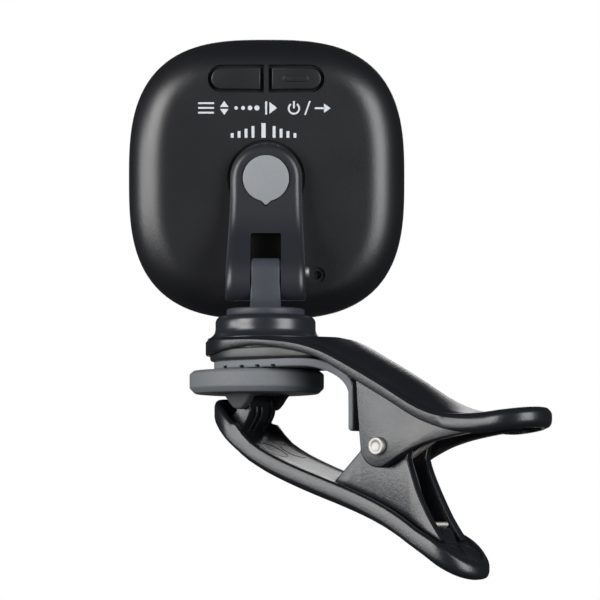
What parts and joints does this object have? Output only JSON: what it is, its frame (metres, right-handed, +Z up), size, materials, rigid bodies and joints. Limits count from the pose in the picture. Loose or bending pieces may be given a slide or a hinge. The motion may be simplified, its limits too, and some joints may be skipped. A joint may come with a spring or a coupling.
{
  "type": "clip-on instrument tuner",
  "caption": "Clip-on tuner: rounded square display head on a spinning, tilting bracket, swivel neck and sprung clip with soft grip pads.",
  "frame": {"origin": "where the swivel axis meets the gripping face of the upper pad", "axes": "+Z up along the swivel axis; the head's display faces +Y and its button side faces -Y; +X is to the right when looking at the button side"},
  "size_m": [0.0618, 0.0506, 0.0817],
  "materials": {
    "bezel_plastic": "fine satin",
    "lens": "smoked gloss",
    "lcd_glass": "dark glass",
    "diffuser": "milky",
    "flex_film": "amber film",
    "pcb": "solder mask",
    "chip_epoxy": "matt epoxy",
    "screw_steel": "zinc plated",
    "switch_steel": "stamped",
    "battery_foil": "satin foil",
    "foam": "closed cell foam",
    "port_steel": "plated shell",
    "brass": "satin",
    "piezo_ceramic": "silvered",
    "shell_plastic": "fine matt texture",
    "button_plastic": "satin",
    "natural_plastic": "natural nylon",
    "dark_nylon": "black nylon",
    "bracket_plastic": "satin",
    "cap_plastic": "satin light grey",
    "washer_steel": "plated",
    "nickel": "bright nickel",
    "neck_plastic": "satin grey",
    "clip_plastic": "satin, fine grain",
    "grip_rubber": "matt soft rubber",
    "spring_steel": "plated wire"
  },
  "bodies": {
    "clip": {"upper_jaw": "clip_plastic", "pad_carrier": "clip_plastic", "upper_pad": "grip_rubber", "swivel_collar": "clip_plastic", "pivot_pin": "nickel", "torsion_spring": "spring_steel"},
    "lower_clip": {"lower_jaw": "clip_plastic", "pad_axle": "nickel"},
    "grip": {"lower_pad": "grip_rubber"},
    "neck": {"neck_arm": "neck_plastic", "swivel_screw": "screw_steel", "swivel_washer": "washer_steel", "friction_washers": "dark_nylon"},
    "bracket": {"hinge_bracket": "bracket_plastic", "bracket_cap": "cap_plastic", "spin_washer": "washer_steel", "hinge_pin": "nickel"},
    "head": {"front_bezel": "bezel_plastic", "display_lens": "lens", "lcd_panel": "lcd_glass", "backlight": "diffuser", "lcd_flex": "flex_film", "main_pcb": "pcb", "pcb_chips": "chip_epoxy", "pcb_screws": "screw_steel", "tact_switches": "switch_steel", "reset_switch": "switch_steel", "battery": "battery_foil", "battery_pad": "foam", "usb_port": "port_steel", "piezo_disc": "brass", "piezo_ceramic": "piezo_ceramic", "rear_cover": "shell_plastic", "spin_screw": "screw_steel"},
    "mode_key": {"mode_button": "button_plastic"},
    "power_key": {"power_button": "button_plastic"},
    "reset_key": {"reset_plunger": "natural_plastic"}
  },
  "joints": [
    {"name": "swivel", "type": "hinge", "parent": "clip", "child": "neck", "pos_m": [0, 0, 0.008], "axis": [0, 0, 1], "range_deg": [-170, 170]},
    {"name": "head_tilt", "type": "hinge", "parent": "neck", "child": "bracket", "pos_m": [0, 0, 0.0146], "axis": [1, 0, 0], "range_deg": [-10, 85]},
    {"name": "head_spin", "type": "hinge", "parent": "bracket", "child": "head", "pos_m": [0, 0.00562, 0.02931], "axis": [0, 0.9954, 0.0958], "range_deg": [-90, 90]},
    {"name": "clip_open", "type": "hinge", "parent": "clip", "child": "lower_clip", "pos_m": [0.019, -0.01331, -0.0117], "axis": [-0.5736, -0.8192, 0], "range_deg": [0, 35], "stiffness_Nm_per_rad": 0.15, "springref_deg": -2.86, "deforming": ["torsion_spring"]},
    {"name": "pad_tilt", "type": "hinge", "parent": "lower_clip", "child": "grip", "pos_m": [-0.00131, 0.00092, -0.0047], "axis": [-0.5736, -0.8192, 0], "range_deg": [-36, 1]},
    {"name": "mode_press", "type": "slide", "parent": "head", "child": "mode_key", "axis": [0, 0.9954, 0.0958], "range_m": [0, 0.0003], "stiffness_N_per_m": 300},
    {"name": "power_press", "type": "slide", "parent": "head", "child": "power_key", "axis": [0, 0.9954, 0.0958], "range_m": [0, 0.0003], "stiffness_N_per_m": 300},
    {"name": "reset_press", "type": "slide", "parent": "head", "child": "reset_key", "axis": [0, 0.9954, 0.0958], "range_m": [0, 0.0002], "stiffness_N_per_m": 200}
  ],
  "couplings": [
    {"joint": "pad_tilt", "follows": "clip_open", "ratio": -1}
  ]
}
